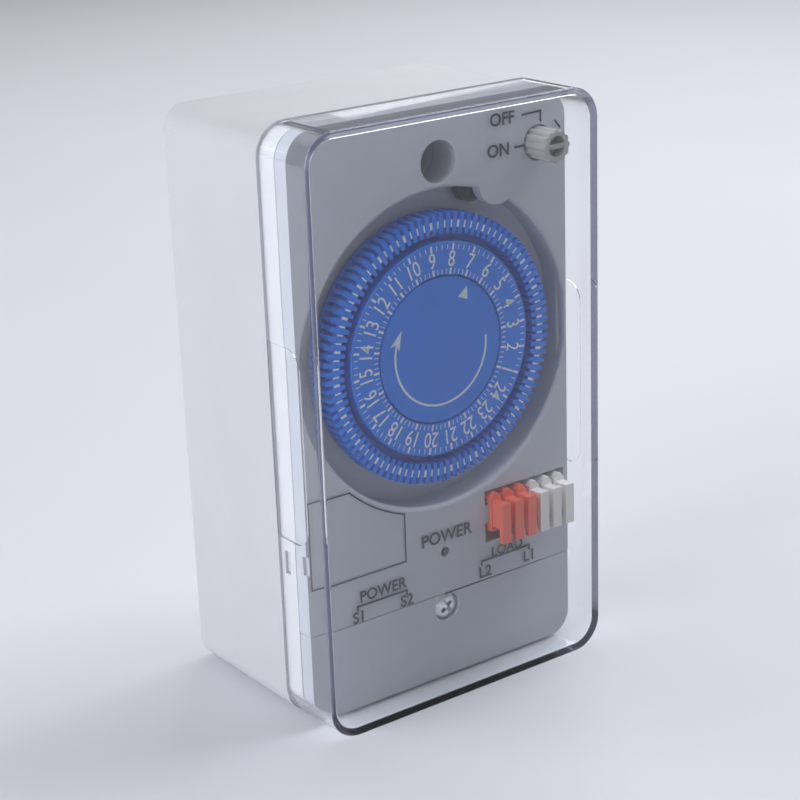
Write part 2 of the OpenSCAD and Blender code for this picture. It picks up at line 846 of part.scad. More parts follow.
rear_housing();
clear_cover();
front_panel();
terminal_cover();
terminal_cover_screw();
override_knob();
dial_ring();
number_disc();
centre_disc();
dial_spindle();
dial_gear();
clutch_spring();
reduction_gear_a();
reduction_gear_b();
gear_arbors();
motor_rotor();
motor_can();
motor_screws();
gear_plate();
movement_case();
case_screws();
fixing_screw();
trip_wheel();
trip_rocker();
rocker_pin();
switch_body();
switch_plunger();
switch_tabs();
circuit_board();
power_led();
smoothing_capacitor();
film_capacitor();
reserve_battery();
timing_crystal();
terminal_block();
clamp_plates();
terminal_screws();
supply_wires();
load_wires();
on_rider(0);  // on_rider_1
on_rider(1);  // on_rider_2
on_rider(2);  // on_rider_3
off_rider(0);  // off_rider_1
off_rider(1);  // off_rider_2
off_rider(2);  // off_rider_3
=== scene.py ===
"""Looks for a mechanical 24 hour time switch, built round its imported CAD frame.

Metres, in the frame's axes: +Z up, +X to the right, the clear front faces -Y.
"""

import json
import math

import bmesh
import bpy
from mathutils import Matrix, Vector


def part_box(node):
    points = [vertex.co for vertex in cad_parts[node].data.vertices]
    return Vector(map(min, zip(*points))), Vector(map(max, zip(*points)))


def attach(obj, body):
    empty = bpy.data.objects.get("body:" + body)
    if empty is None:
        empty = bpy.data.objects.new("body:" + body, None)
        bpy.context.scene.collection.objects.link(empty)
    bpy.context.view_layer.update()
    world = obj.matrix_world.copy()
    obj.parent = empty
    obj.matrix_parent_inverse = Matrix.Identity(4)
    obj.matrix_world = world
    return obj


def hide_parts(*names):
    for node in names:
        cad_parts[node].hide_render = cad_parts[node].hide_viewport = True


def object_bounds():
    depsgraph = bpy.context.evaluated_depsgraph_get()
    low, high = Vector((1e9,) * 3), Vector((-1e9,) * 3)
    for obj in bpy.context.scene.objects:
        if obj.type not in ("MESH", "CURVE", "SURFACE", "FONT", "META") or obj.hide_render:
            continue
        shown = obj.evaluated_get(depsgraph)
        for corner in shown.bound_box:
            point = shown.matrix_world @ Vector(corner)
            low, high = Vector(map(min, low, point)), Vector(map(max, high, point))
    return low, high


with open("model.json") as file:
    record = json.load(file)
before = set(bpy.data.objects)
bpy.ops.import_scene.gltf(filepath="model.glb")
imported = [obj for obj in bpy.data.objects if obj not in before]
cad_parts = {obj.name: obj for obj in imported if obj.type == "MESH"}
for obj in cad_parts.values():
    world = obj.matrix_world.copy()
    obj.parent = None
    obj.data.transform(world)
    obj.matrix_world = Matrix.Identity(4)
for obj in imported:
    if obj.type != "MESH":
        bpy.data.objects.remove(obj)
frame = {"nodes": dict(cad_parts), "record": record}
NODES = frame["nodes"]
CAD_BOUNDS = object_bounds()
MM = 0.001
TURN = 2 * math.pi
SAME_POINT = 0.0001 * MM
INK_T = 0.02 * MM


# ---- Places that the CAD model gives ----


def middle(node):
    """Middle of a CAD node's box seen from the front, as x and z."""
    low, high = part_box(node)
    return (low.x + high.x) / 2, (low.z + high.z) / 2


def half_width(node):
    """Half the width of a CAD node's box, which is the radius of a round one."""
    low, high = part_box(node)
    return (high.x - low.x) / 2


PANEL_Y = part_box("front_panel")[0].y
DIAL_X, DIAL_Z = middle("dial_ring")
RING_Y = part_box("dial_ring")[0].y
NUMBER_R = half_width("number_disc")
NUMBER_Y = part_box("number_disc")[0].y
CENTRE_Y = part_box("centre_disc")[0].y


# ---- Mesh helpers ----


def new_piece(name, mesh, material, body):
    """A visible piece of one material, which rides on a CAD body."""
    obj = bpy.data.objects.new(name, mesh)
    bpy.context.scene.collection.objects.link(obj)
    mesh.materials.clear()
    mesh.materials.append(material)
    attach(obj, body)
    return obj


def shade(mesh, angle=35):
    """Smooth faces, with every edge sharper than the angle kept hard."""
    bm = bmesh.new()
    bm.from_mesh(mesh)
    bmesh.ops.remove_doubles(bm, verts=bm.verts, dist=SAME_POINT)
    bmesh.ops.recalc_face_normals(bm, faces=bm.faces)
    for face in bm.faces:
        face.smooth = True
    for edge in bm.edges:
        edge.smooth = len(edge.link_faces) == 2 and edge.calc_face_angle(0) < math.radians(angle)
    bm.to_mesh(mesh)
    bm.free()
    return mesh


def joined(name, meshes):
    """One mesh from several."""
    bm = bmesh.new()
    for mesh in meshes:
        bm.from_mesh(mesh)
        bpy.data.meshes.remove(mesh)
    mesh = bpy.data.meshes.new(name)
    bm.to_mesh(mesh)
    bm.free()
    return mesh


def curve_mesh(curve, matrix):
    """The mesh that a curve or text makes, moved by a matrix."""
    obj = bpy.data.objects.new("curve", curve)
    bpy.context.scene.collection.objects.link(obj)
    graph = bpy.context.evaluated_depsgraph_get()
    mesh = bpy.data.meshes.new_from_object(obj.evaluated_get(graph))
    mesh.transform(matrix)
    bpy.data.objects.remove(obj)
    bpy.data.curves.remove(curve)
    return mesh


def facing(x, y, z, turn=0.0):
    """Places a drawing made in X and Y so that it faces -Y at (x, y, z), turned about its middle."""
    upright = Matrix.Rotation(TURN / 4, 4, "X")
    return Matrix.Translation((x, y, z)) @ Matrix.Rotation(turn, 4, "Y") @ upright


def plate(loops, y0, y1):
    """Closed outlines (x, z), the first with the others as its holes, made solid from y0 to y1."""
    curve = bpy.data.curves.new("plate", "CURVE")
    curve.dimensions = "2D"
    curve.fill_mode = "BOTH"
    for loop in loops:
        spline = curve.splines.new("POLY")
        spline.points.add(len(loop) - 1)
        for point, (x, z) in zip(spline.points, loop):
            point.co = (x, z, 0, 1)
        spline.use_cyclic_u = True
    curve.extrude = (y1 - y0) / 2
    return shade(curve_mesh(curve, facing(0, (y0 + y1) / 2, 0)))


def printed(loop, y):
    """One closed outline of ink, a hair thick, on a face at y."""
    return plate([loop], y - INK_T, y + INK_T)


def lofted(loops):
    """A closed solid through outlines of (x, y, z) points, as many in each, capped at both ends."""
    bm = bmesh.new()
    rings = [[bm.verts.new(point) for point in loop] for loop in loops]
    count = len(rings[0])
    for a, b in zip(rings, rings[1:]):
        for k in range(count):
            bm.faces.new((a[k], a[(k + 1) % count], b[(k + 1) % count], b[k]))
    bm.faces.new(list(reversed(rings[0])))
    bm.faces.new(rings[-1])
    bmesh.ops.recalc_face_normals(bm, faces=bm.faces)
    mesh = bpy.data.meshes.new("lofted")
    bm.to_mesh(mesh)
    bm.free()
    return mesh


def revolved(profile, x, z, steps=96):
    """A profile of (radius, y) points, from axis to axis, swept round the axis along Y at (x, z)."""
    bm = bmesh.new()
    rings = []
    for i in range(steps):
        a = TURN * i / steps
        rings.append(
            [bm.verts.new((x + r * math.cos(a), y, z + r * math.sin(a))) for r, y in profile]
        )
    for i in range(steps):
        a, b = rings[i], rings[(i + 1) % steps]
        for k in range(len(profile) - 1):
            bm.faces.new((a[k], b[k], b[k + 1], a[k + 1]))
    bmesh.ops.remove_doubles(bm, verts=bm.verts, dist=SAME_POINT)
    mesh = bpy.data.meshes.new("revolved")
    bm.to_mesh(mesh)
    bm.free()
    return shade(mesh)


def text_mesh(words, size, x, y, z, turn=0.0, weight=0.0, squeeze=1.0):
    """Flat printed letters centred at (x, z), facing -Y, standing a hair in front of y."""
    curve = bpy.data.curves.new("words", "FONT")
    curve.body = words
    curve.size = size
    curve.align_x = "CENTER"
    curve.align_y = "CENTER"
    curve.extrude = INK_T
    curve.offset = weight
    squash = Matrix.Diagonal((squeeze, 1, 1, 1))
    return curve_mesh(curve, facing(x, y, z, turn) @ squash)


def round_box(x0, x1, z0, z1, r, steps=8):
    """Rectangle with round corners, from the upper right one counter-clockwise."""
    points = []
    for quarter, (cx, cz) in enumerate(
        ((x1 - r, z1 - r), (x0 + r, z1 - r), (x0 + r, z0 + r), (x1 - r, z0 + r))
    ):
        for k in range(steps + 1):
            a = math.pi / 2 * (quarter + k / steps)
            points.append((cx + r * math.cos(a), cz + r * math.sin(a)))
    return points


# ---- Materials: noise scales are per metre, bump depths are in metres ----

# The part of 0 to 1 that a noise texture's values really fill
NOISE_LOW, NOISE_HIGH = 0.3, 0.7


class Nodes:
    """Short names for the few shader nodes that the materials use."""

    def __init__(self, name):
        self.material = bpy.data.materials.new(name)
        self.material.use_nodes = True
        self.tree = self.material.node_tree
        self.shader = self.tree.nodes["Principled BSDF"]
        self.output = self.tree.nodes["Material Output"]
        self.place = self.add("ShaderNodeTexCoord").outputs["Object"]

    def add(self, kind):
        return self.tree.nodes.new(kind)

    def link(self, a, b):
        self.tree.links.new(a, b)

    def set(self, **values):
        for key, value in values.items():
            self.shader.inputs[key.replace("_", " ")].default_value = value

    def stretched(self, scale):
        node = self.add("ShaderNodeMapping")
        node.inputs["Scale"].default_value = scale
        self.link(self.place, node.inputs["Vector"])
        return node.outputs["Vector"]

    def noise(self, scale, detail=3.0, rough=0.55, vector=None):
        node = self.add("ShaderNodeTexNoise")
        node.inputs["Scale"].default_value = scale
        node.inputs["Detail"].default_value = detail
        node.inputs["Roughness"].default_value = rough
        self.link(vector or self.place, node.inputs["Vector"])
        return node.outputs["Fac"]

    def ranged(self, noise, low, high):
        """A noise spread over the numbers from low to high."""
        node = self.add("ShaderNodeMapRange")
        for name, number in (
            ("From Min", NOISE_LOW), ("From Max", NOISE_HIGH), ("To Min", low), ("To Max", high)
        ):
            node.inputs[name].default_value = number
        self.link(noise, node.inputs["Value"])
        return node.outputs["Result"]

    def colours(self, noise, dark, light):
        """A noise spread over the colours from dark to light."""
        node = self.add("ShaderNodeValToRGB")
        ends = ((NOISE_LOW, dark), (NOISE_HIGH, light))
        for element, (place, colour) in zip(node.color_ramp.elements, ends):
            element.position = place
            element.color = (*colour, 1)
        self.link(noise, node.inputs["Fac"])
        return node.outputs["Color"]

    def mottled(self, noise, colour, darker, lighter):
        """Colours the surface with one colour, made darker and lighter by a noise."""
        dark = tinted(colour, 1 - darker)
        light = tinted(colour, 1 + lighter)
        self.link(self.colours(noise, dark, light), self.shader.inputs["Base Color"])

    def bump(self, height, distance, strength=1.0, under=None):
        node = self.add("ShaderNodeBump")
        node.inputs["Strength"].default_value = strength
        node.inputs["Distance"].default_value = distance
        self.link(height, node.inputs["Height"])
        if under:
            self.link(under, node.inputs["Normal"])
        return node.outputs["Normal"]


def tinted(colour, factor):
    return tuple(min(1, c * factor) for c in colour)


def moulded(name, colour, rough, grain, depth, spread):
    """Injection moulded plastic: fine spark-eroded grain, faint cloudiness and handling sheen."""
    n = Nodes(name)
    n.mottled(n.noise(60, 4), colour, spread, spread)
    rub = n.noise(180, 5, 0.65)
    n.link(n.ranged(rub, rough - 0.07, rough + 0.08), n.shader.inputs["Roughness"])
    fine = n.bump(n.noise(grain, 2), depth, 0.5)
    wave = n.bump(n.noise(35, 1), depth * 4, 0.25, fine)
    n.link(wave, n.shader.inputs["Normal"])
    n.set(IOR=1.5)
    return n.material


def metal(name, colour, rough, across):
    """Metal with slight tarnish and fine drawn or turned lines, as many per metre as across says."""
    n = Nodes(name)
    lines = n.noise(1, 3, 0.6, n.stretched(across))
    n.mottled(n.noise(180, 4), colour, 0.1, 0.1)
    n.link(n.ranged(lines, rough - 0.08, rough + 0.12), n.shader.inputs["Roughness"])
    n.link(n.bump(lines, 0.00001, 0.6), n.shader.inputs["Normal"])
    n.set(Metallic=1.0)
    return n.material


# A whole number of bounces and a half, so that the third one ends in the painted haze
INNER_BOUNCES = 2.5


def clear_plastic():
    """Polished clear plastic that lets lamps through, with faint wipe marks.

    Light that keeps bouncing inside a wall ends in a grey diffuse haze, painted light that stands in
    for the light further bounces would bring.
    """
    n = Nodes("clear_plastic")
    wipe = n.noise(1, 5, 0.7, n.stretched((90, 90, 30)))
    n.link(n.ranged(wipe, 0.0, 0.03), n.shader.inputs["Roughness"])
    n.link(n.bump(n.noise(28, 2), 0.00004, 0.15), n.shader.inputs["Normal"])
    n.set(Base_Color=(0.985, 0.992, 1.0, 1), IOR=1.49, Transmission_Weight=1.0)
    n.set(Specular_IOR_Level=0.3)
    through = n.add("ShaderNodeBsdfTransparent")
    through.inputs["Color"].default_value = (0.93, 0.94, 0.95, 1)
    path = n.add("ShaderNodeLightPath")
    deep = n.add("ShaderNodeMath")
    deep.operation = "GREATER_THAN"
    deep.inputs[1].default_value = INNER_BOUNCES
    n.link(path.outputs["Glossy Depth"], deep.inputs[0])
    # Painted light: a grey diffuse haze in place of the light that further bounces inside the wall
    # would bring
    painted_haze = n.add("ShaderNodeBsdfDiffuse")
    painted_haze.inputs["Color"].default_value = (0.46, 0.47, 0.55, 1)
    solid = n.add("ShaderNodeMixShader")
    n.link(deep.outputs["Value"], solid.inputs[0])
    n.link(n.shader.outputs["BSDF"], solid.inputs[1])
    n.link(painted_haze.outputs["BSDF"], solid.inputs[2])
    mix = n.add("ShaderNodeMixShader")
    n.link(path.outputs["Is Shadow Ray"], mix.inputs[0])
    n.link(solid.outputs["Shader"], mix.inputs[1])
    n.link(through.outputs["BSDF"], mix.inputs[2])
    n.link(mix.outputs["Shader"], n.output.inputs["Surface"])
    return n.material


def printing(name, colour):
    """Pad-printed ink: slightly uneven cover and a dull surface."""
    n = Nodes(name)
    n.mottled(n.noise(2500, 3), colour, 0.1, 0.08)
    n.link(n.ranged(n.noise(1800, 2), 0.4, 0.55), n.shader.inputs["Roughness"])
    n.link(n.bump(n.noise(3000, 2), 0.00001, 0.4), n.shader.inputs["Normal"])
    return n.material


# Name, colour, roughness, grain per metre, bump depth, colour spread
PLASTICS = (
    ("housing_plastic", (0.69, 0.70, 0.735), 0.5, 1400, 0.00003, 0.02),
    ("panel_plastic", (0.52, 0.545, 0.61), 0.5, 1500, 0.00003, 0.025),
    ("knob_plastic", (0.50, 0.48, 0.475), 0.42, 1200, 0.00002, 0.03),
    ("dial_plastic", (0.008, 0.20, 0.82), 0.45, 1500, 0.00002, 0.04),
    ("orange_plastic", (1.0, 0.17, 0.095), 0.35, 1000, 0.00002, 0.04),
    ("white_plastic", (0.92, 0.885, 0.87), 0.38, 1000, 0.00002, 0.03),
    ("dark_plastic", (0.018, 0.020, 0.023), 0.45, 1000, 0.00003, 0.08),
    ("gear_plastic", (0.70, 0.68, 0.62), 0.4, 1200, 0.00002, 0.03),
    ("board_laminate", (0.012, 0.10, 0.04), 0.3, 900, 0.00003, 0.1),
    ("led_resin", (0.10, 0.015, 0.012), 0.15, 600, 0.000005, 0.05),
    ("component_sleeve", (0.02, 0.03, 0.075), 0.25, 500, 0.00002, 0.1),
    ("component_resin", (0.42, 0.26, 0.03), 0.3, 300, 0.00004, 0.08),
    ("red_insulation", (0.45, 0.02, 0.015), 0.4, 800, 0.00002, 0.06),
    ("blue_insulation", (0.02, 0.035, 0.22), 0.4, 800, 0.00002, 0.06),
)
# Name, colour, roughness, lines per metre along X, Y and Z
METALS = (
    ("gear_brass", (0.62, 0.42, 0.14), 0.32, (60, 1400, 1400)),
    ("zinc_steel", (0.72, 0.74, 0.78), 0.28, (900, 60, 900)),
    ("bright_steel", (0.62, 0.62, 0.63), 0.22, (1500, 50, 1500)),
)
MATERIALS = {"clear_plastic": clear_plastic()}
MATERIALS.update({look[0]: moulded(*look) for look in PLASTICS})
MATERIALS.update({look[0]: metal(*look) for look in METALS})
CASE_GREY = moulded("case_grey", (0.60, 0.61, 0.66), 0.5, 1200, 0.00003, 0.04)
# The cover's rear rim faces: an opaque pale grey painted in for the lit housing flange seen through
# the clear rim
RIM_PAINTED_FLANGE = moulded("rim_painted_flange", (0.84, 0.84, 0.92), 0.5, 1400, 0.00002, 0.03)
# The panel's real print, also used as painted shade in the label field's groove
PANEL_INK_AND_SHADE = printing("panel_ink_and_shade", (0.035, 0.040, 0.060))
DIAL_INK = printing("dial_ink", (0.74, 0.79, 0.87))


def dress_cad_nodes():
    """Gives each CAD node its slot's material, and the movement case its own grey."""
    for part in frame["record"]["subparts"]:
        mesh = NODES[part["node"]].data
        material = MATERIALS[part["material_slot"]]
        if part["node"] == "movement_case":
            material = CASE_GREY
        if not mesh.materials:
            mesh.materials.append(material)
        for i in range(len(mesh.materials)):
            mesh.materials[i] = material


def soften(node, width, segments=2):
    """Rounds a CAD node's hard edges with modifiers, which leave its own mesh as it is."""
    obj = NODES[node]
    weld = obj.modifiers.new("weld", "WELD")
    weld.merge_threshold = 10 * SAME_POINT
    flat = obj.modifiers.new("flat", "DECIMATE")
    flat.decimate_type = "DISSOLVE"
    flat.angle_limit = math.radians(1)
    edges = obj.modifiers.new("edges", "BEVEL")
    edges.width = width
    edges.segments = segments
    edges.limit_method = "ANGLE"
    edges.angle_limit = math.radians(30)
    edges.harden_normals = True
    level = obj.modifiers.new("level", "WEIGHTED_NORMAL")
    level.keep_sharp = True


# ---- The clear cover ----

# The walls, the corners seen from the front, and the rounding of the front and back edges
COVER_T = 1.4 * MM
COVER_CORNER = 6.6 * MM
CORNER_STEPS = 12
COVER_EDGE = 0.55 * MM
COVER_INNER_EDGE = 0.25 * MM
EDGE_STEPS = 6
RIM_CHAMFER = 0.1 * MM
RIM_RISE = 0.15 * MM
# The finger grips sunk in both side walls
GRIP_T = 0.4 * MM
GRIP_R = 4 * MM
GRIP_HALF = 19.9 * MM
GRIP_Z = 59.5 * MM
GRIP_FRONT = 5.4 * MM


def grip_cutter(side, low, high):
    """The finger grip's outline as a slab half sunk in one side wall."""
    outline = round_box(
        low.y + GRIP_FRONT, high.y + 2 * GRIP_R, GRIP_Z - GRIP_HALF, GRIP_Z + GRIP_HALF, GRIP_R
    )
    depths = (high.x - GRIP_T, high.x + GRIP_T)
    return lofted([[(side * x, y, z) for y, z in outline] for x in depths])


def cut_away(mesh, cutter):
    """A mesh with a cutter's volume removed; both are used up."""
    body = bpy.data.objects.new("body", mesh)
    tool = bpy.data.objects.new("tool", cutter)
    for obj in (body, tool):
        bpy.context.scene.collection.objects.link(obj)
    cut = body.modifiers.new("cut", "BOOLEAN")
    cut.operation = "DIFFERENCE"
    cut.solver = "EXACT"
    cut.object = tool
    graph = bpy.context.evaluated_depsgraph_get()
    result = bpy.data.meshes.new_from_object(body.evaluated_get(graph))
    for obj in (body, tool):
        bpy.data.objects.remove(obj)
    for used in (mesh, cutter):
        bpy.data.meshes.remove(used)
    return result


def clear_cover():
    """A thin box open at the back, with its front edge rounded inside and out."""
    low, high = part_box("clear_cover")
    arc = [math.pi / 2 * k / EDGE_STEPS for k in range(EDGE_STEPS + 1)]
    rings = [
        (COVER_EDGE * (1 - math.sin(a)), low.y + COVER_EDGE * (1 - math.cos(a))) for a in arc
    ]
    rings += [(0.0, high.y - RIM_RISE), (RIM_CHAMFER, high.y)]
    rings += [(COVER_T - RIM_CHAMFER, high.y), (COVER_T, high.y - RIM_RISE)]
    for a in reversed(arc):
        inset = COVER_T + COVER_INNER_EDGE * (1 - math.sin(a))
        rings.append((inset, low.y + COVER_T + COVER_INNER_EDGE * (1 - math.cos(a))))

    def section(inset, y):
        half, corner = high.x - inset, COVER_CORNER - inset
        outline = round_box(-half, half, low.z + inset, high.z - inset, corner, CORNER_STEPS)
        return [(x, y, z) for x, z in outline]

    mesh = lofted([section(inset, y) for inset, y in rings])
    for side in (-1, 1):
        mesh = cut_away(mesh, grip_cutter(side, low, high))
    mesh.name = "clear_cover_shell"
    shade(mesh, angle=40)
    slot = "clear_plastic"
    piece = new_piece("clear_cover_shell", mesh, MATERIALS[slot], "cover")
    # Painted light: the rear rim faces show an opaque pale grey in place of the lit flange seen
    # through them
    mesh.materials.append(RIM_PAINTED_FLANGE)
    for face in mesh.polygons:
        if face.center.y > high.y - RIM_RISE / 3:
            face.material_index = 1
    flat_walls = piece.modifiers.new("level", "WEIGHTED_NORMAL")
    flat_walls.weight = 100
    flat_walls.keep_sharp = True
    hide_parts("clear_cover")


# ---- The terminal cover's screw ----

SCREW_HEAD_T = 1.1 * MM
SCREW_SHANK_R = 1.5 * MM
DOME_RISE = 0.55 * MM
DOME_POWER = 2.6
DOME_STEPS = 8
CROSS_ANGLE = math.radians(38)
# Depth below the head's top, half length and half width of one slot of the cross
CROSS_MOUTH = (-0.3 * MM, 2.2 * MM, 0.55 * MM)
CROSS_FLOOR = (0.85 * MM, 1.0 * MM, 0.36 * MM)


def cross_slot(x, y, z, turn):
    """One of the two tapered slots that make the screw's cross, as a cutter."""
    c, s = math.cos(turn), math.sin(turn)
    ends = []
    for depth, u, v in (CROSS_MOUTH, CROSS_FLOOR):
        corners = ((-u, -v), (u, -v), (u, v), (-u, v))
        ends.append([(x + a * c - b * s, y + depth, z + a * s + b * c) for a, b in corners])
    return lofted(ends)


def lid_screw():
    """A pan head screw with a domed head and a deep tapered cross recess."""
    low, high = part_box("terminal_cover_screw")
    x, z = middle("terminal_cover_screw")
    head_r = half_width("terminal_cover_screw")
    profile = [(0, low.y)]
    for k in range(1, DOME_STEPS + 1):
        part = k / DOME_STEPS
        profile.append((head_r * part, low.y + DOME_RISE * part ** DOME_POWER))
    head_y = low.y + SCREW_HEAD_T
    profile += [(head_r, head_y), (SCREW_SHANK_R, head_y), (SCREW_SHANK_R, high.y), (0, high.y)]
    mesh = revolved(profile, x, z)
    for turn in (CROSS_ANGLE, CROSS_ANGLE + TURN / 4):
        mesh = cut_away(mesh, cross_slot(x, low.y, z, turn))
    mesh.name = "lid_screw"
    shade(mesh, angle=30)
    piece = new_piece("lid_screw", mesh, MATERIALS["zinc_steel"], "terminal_lid")
    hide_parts("terminal_cover_screw")


# ---- Printing, and the label groove's painted shade ----


def line_mesh(points, width, y):
    """A printed line through (x, z) points, a hair thick."""
    half = width / 2
    strips = []
    for (x0, z0), (x1, z1) in zip(points, points[1:]):
        length = math.hypot(x1 - x0, z1 - z0)
        ux, uz = (x1 - x0) / length, (z1 - z0) / length
        x0, z0, x1, z1 = x0 - ux * half, z0 - uz * half, x1 + ux * half, z1 + uz * half
        nx, nz = -uz * half, ux * half
        loop = [(x0 + nx, z0 + nz), (x0 - nx, z0 - nz), (x1 - nx, z1 - nz), (x1 + nx, z1 + nz)]
        strips.append(printed(loop, y))
    return strips


LEGEND_WEIGHT = 0.06 * MM
LEGEND_LINE_W = 0.42 * MM


def panel_legends():
    """Words and brackets printed on the panel, and painted shade along the label field's groove."""
    y = PANEL_Y
    # Word, height, then x and z of its middle, all in millimetres
    words = (
        ("POWER", 3.7, -0.6, 32.85),
        ("POWER", 3.3, -16.9, 25.7),
        ("S1", 3.4, -22.9, 21.5),
        ("S2", 3.4, -11.1, 21.6),
        ("LOAD", 3.1, 15.05, 25.7),
        ("L2", 3.5, 9.15, 21.95),
        ("L1", 3.4, 21.0, 22.2),
        ("OFF", 3.5, 15.8, 115.45),
        ("ON", 3.5, 14.75, 109.4),
    )
    meshes = [
        text_mesh(word, size * MM, x * MM, y, z * MM, weight=LEGEND_WEIGHT)
        for word, size, x, z in words
    ]
    # The x and z of each bracket's and pointer line's points, in millimetres
    lines = (
        [(-23.2, 23.1), (-23.2, 23.9), (-11.1, 23.9), (-11.1, 23.1)],
        [(8.3, 23.75), (8.3, 24.5), (20.9, 24.6), (20.9, 23.9)],
        [(20.9, 115.6), (25.5, 115.8), (25.5, 113.8)],
        [(18.9, 109.5), (21.3, 109.5)],
        [(29.3, 113.2), (30.4, 111.9)],
    )
    for points in lines:
        meshes += line_mesh([(x * MM, z * MM) for x, z in points], LEGEND_LINE_W, y)
    # Painted shade: dark ink on the label groove's floor, where the groove's shade falls
    meshes.append(label_line(y + GROOVE_T))
    mesh = joined("panel_legends", meshes)
    new_piece("panel_legends", mesh, PANEL_INK_AND_SHADE, "housing")


LABEL_X = (-32.6 * MM, -10.6 * MM)
LABEL_Z = (29.8 * MM, 48.45 * MM)
LABEL_ARC_R = 33.3 * MM
LABEL_ARC_STEPS = 24
GROOVE_W = 0.45 * MM
GROOVE_T = 0.2 * MM
GROOVE_EDGE = 0.09 * MM


def label_loop(inset):
    """The label field's outline: a rectangle whose upper right is cut off round the dial."""
    x0, x1 = LABEL_X[0] + inset, LABEL_X[1] - inset
    z0, z1 = LABEL_Z[0] + inset, LABEL_Z[1] - inset
    r = LABEL_ARC_R + inset
    low = math.asin((x1 - DIAL_X) / r)
    high = -math.acos((DIAL_Z - z1) / r)
    points = [(x0, z1), (x0, z0), (x1, z0)]
    for k in range(LABEL_ARC_STEPS + 1):
        a = low + (high - low) * k / LABEL_ARC_STEPS
        points.append((DIAL_X + r * math.sin(a), DIAL_Z - r * math.cos(a)))
    return points


def label_line(y):
    """Painted shade: dark ink along the floor of the groove round the label field, whose floor is at
    y.
    """
    loops = [label_loop(GROOVE_EDGE), label_loop(GROOVE_W - GROOVE_EDGE)]
    return plate(loops, y - 2 * INK_T, y - INK_T / 4)


def on_dial(r, angle):
    """The x and z of a point at a radius and an angle round the dial's axis."""
    return DIAL_X + r * math.cos(angle), DIAL_Z + r * math.sin(angle)


def tick(angle, r0, r1, width, y):
    """A short radial mark on the dial."""
    c, s = math.cos(angle), math.sin(angle)
    half = width / 2
    loop = [
        (DIAL_X + r * c - t * s, DIAL_Z + r * s + t * c)
        for r, t in ((r0, -half), (r1, -half), (r1, half), (r0, half))
    ]
    return printed(loop, y)


HOURS = 24
QUARTERS = 4 * HOURS
# The hour at the pointer, and the angle that it stands at
HOUR_SHOWN = 7
POINTER_ANGLE = math.radians(65)
RING_MARK_R = (NUMBER_R + 2.85 * MM, NUMBER_R + 4.2 * MM)
RING_MARK_W = 0.3 * MM
RING_HOUR_W = 0.52 * MM
OUTER_SCALE_R = NUMBER_R - 0.55 * MM
INNER_SCALE_R = NUMBER_R - 5.35 * MM
SCALE_MARK = 1.0 * MM
SCALE_MARK_W = 0.15 * MM
SCALE_HOUR_W = 0.46 * MM
SCALE_HOUR_LONGER = 0.15 * MM
NUMERAL_SIZE = 4.45 * MM
NUMERAL_R = NUMBER_R - 3.55 * MM
NUMERAL_WEIGHT = 0.02 * MM
NUMERAL_SQUEEZE = 0.8


def ring_marks():
    """A mark on every segment of the ring, the hours thicker."""
    segment = TURN / QUARTERS
    first = round(POINTER_ANGLE / segment)
    marks = []
    for i in range(QUARTERS):
        width = RING_HOUR_W if (i - first) % 4 == 0 else RING_MARK_W
        marks.append(tick(segment * i, *RING_MARK_R, width, RING_Y))
    return marks


def scale_marks(r):
    """Marks at each quarter of an hour, inwards from a radius, the hours thicker and longer."""
    marks = []
    for i in range(QUARTERS):
        hour = i % 4 == 0
        width = SCALE_HOUR_W if hour else SCALE_MARK_W
        longer = SCALE_HOUR_LONGER if hour else 0.0
        a = POINTER_ANGLE + TURN * i / QUARTERS
        marks.append(tick(a, r - SCALE_MARK - longer, r + longer, width, NUMBER_Y))
    return marks


def numerals():
    """The hours from 1 to 24, each upright as seen from the dial's middle."""
    meshes = []
    for hour in range(1, HOURS + 1):
        a = POINTER_ANGLE + TURN * (hour - HOUR_SHOWN) / HOURS
        x, z = on_dial(NUMERAL_R, a)
        upright = math.pi / 2 - a
        look = {"turn": upright, "weight": NUMERAL_WEIGHT, "squeeze": NUMERAL_SQUEEZE}
        meshes.append(text_mesh(str(hour), NUMERAL_SIZE, x, NUMBER_Y, z, **look))
    return meshes


def dial_printing():
    """White marks and hours that turn with the dial."""
    meshes = ring_marks() + scale_marks(OUTER_SCALE_R) + scale_marks(INNER_SCALE_R) + numerals()
    new_piece("dial_printing", joined("dial_printing", meshes), DIAL_INK, "dial")


# The time pointer's corners in millimetres, to the right of the dial's axis and above it
POINTER = ((6.75, 11.8), (4.45, 10.0), (6.85, 9.0))
ARROW_R = (11.0 * MM, 11.45 * MM)
ARROW_FROM = math.radians(4)
ARROW_TO = math.radians(-196)
ARROW_STEPS = 60
# Radius in millimetres and angle in degrees of the arrow head's corners
ARROW_HEAD = ((11.2, -212), (12.7, -194), (11.3, -197), (10.4, -191))


def centre_printing():
    """The time pointer and the arrow that shows which way to turn the dial."""
    sweep = ARROW_TO - ARROW_FROM
    arc = [ARROW_FROM + sweep * k / ARROW_STEPS for k in range(ARROW_STEPS + 1)]
    outer = [on_dial(ARROW_R[1], a) for a in arc]
    inner = [on_dial(ARROW_R[0], a) for a in reversed(arc)]
    head = [on_dial(r * MM, math.radians(a)) for r, a in ARROW_HEAD]
    pointer = [(DIAL_X + x * MM, DIAL_Z + z * MM) for x, z in POINTER]
    meshes = [printed(loop, CENTRE_Y) for loop in (pointer, outer + inner, head)]
    mesh = joined("centre_printing", meshes)
    new_piece("centre_printing", mesh, DIAL_INK, "housing")


# ---- Camera, lights and floor ----

# Where the camera stands, in degrees and in heights of the object
AZIMUTH, ELEVATION, HEIGHTS_AWAY = 35.770, 18.758, 3.4024
# Where it looks, in degrees
YAW, PITCH, ROLL = -36.086, -19.229, -2.087
LENS = 90.12
SENSOR = 36
LIGHT_COLOUR = (0.955, 0.965, 1.0)
WORLD_COLOUR = (0.97, 0.98, 1.0, 1)
WORLD_STRENGTH = 0.17
FLOOR_HALF = 3
